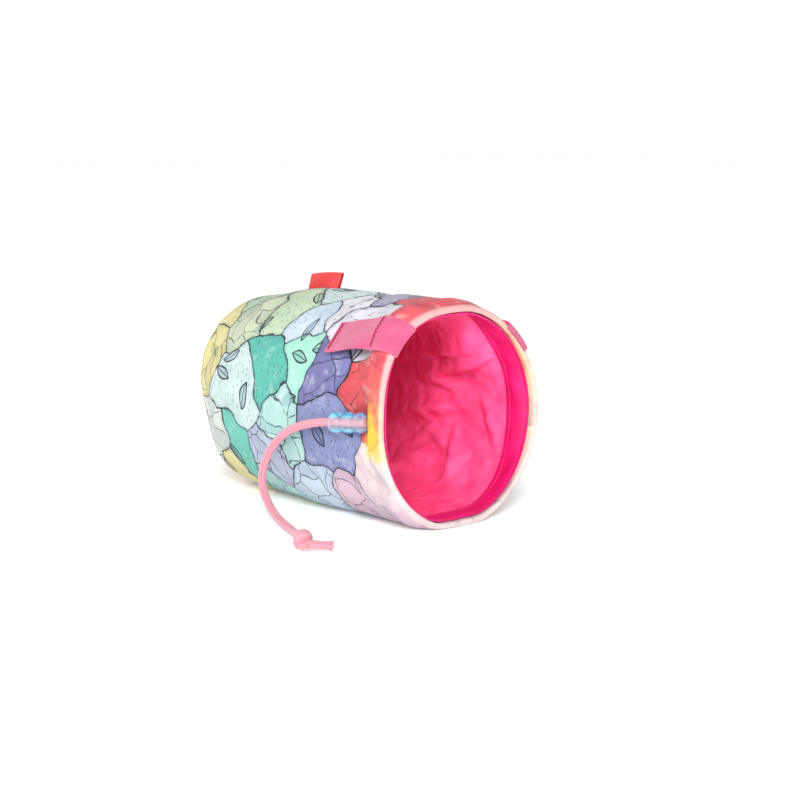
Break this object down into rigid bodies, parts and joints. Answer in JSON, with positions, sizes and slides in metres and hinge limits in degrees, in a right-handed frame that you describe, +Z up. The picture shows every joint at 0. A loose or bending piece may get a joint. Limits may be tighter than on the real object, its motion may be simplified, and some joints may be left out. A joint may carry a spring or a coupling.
{
  "type": "dog treat pouch",
  "caption": "Printed cloth treat pouch lying on its side, with a crumpled pink lining, webbing belt loops, a drawcord with a lock and a knot, and a red side label",
  "frame": {"origin": "on the surface the pouch lies on, under the middle of its box without the cord", "axes": "+X along the pouch to its mouth, +Y away from the drawcord's side, +Z up"},
  "size_m": [0.1794, 0.1586, 0.1268],
  "materials": {
    "printed_cloth": "plain weave cotton with a soft watercolour print, sage and mint to lilac and coral",
    "base_cloth": "the same cotton in a warm yellow part of the print",
    "casing_cloth": "the same cotton, folded double, coral to yellow to cream",
    "facing_cloth": "magenta ribbed binding, sewn on both edges",
    "lining_cloth": "thin crumpled hot pink nylon",
    "webbing": "rose pink woven webbing",
    "label_cloth": "plain red woven satin",
    "cord_yarn": "pale pink braided cord with a darker tracer",
    "lock_plastic": "clear ice-blue moulded plastic"
  },
  "bodies": {
    "root": {"body_shell": "printed_cloth", "base_panel": "base_cloth", "rim_casing": "casing_cloth", "rim_facing": "facing_cloth", "lining": "lining_cloth", "belt_loop_near": "webbing", "belt_loop_far": "webbing", "side_label": "label_cloth", "drawcord": "cord_yarn", "cord_lock": "lock_plastic", "cord_knot": "cord_yarn", "cord_tail": "cord_yarn"}
  },
  "joints": []
}
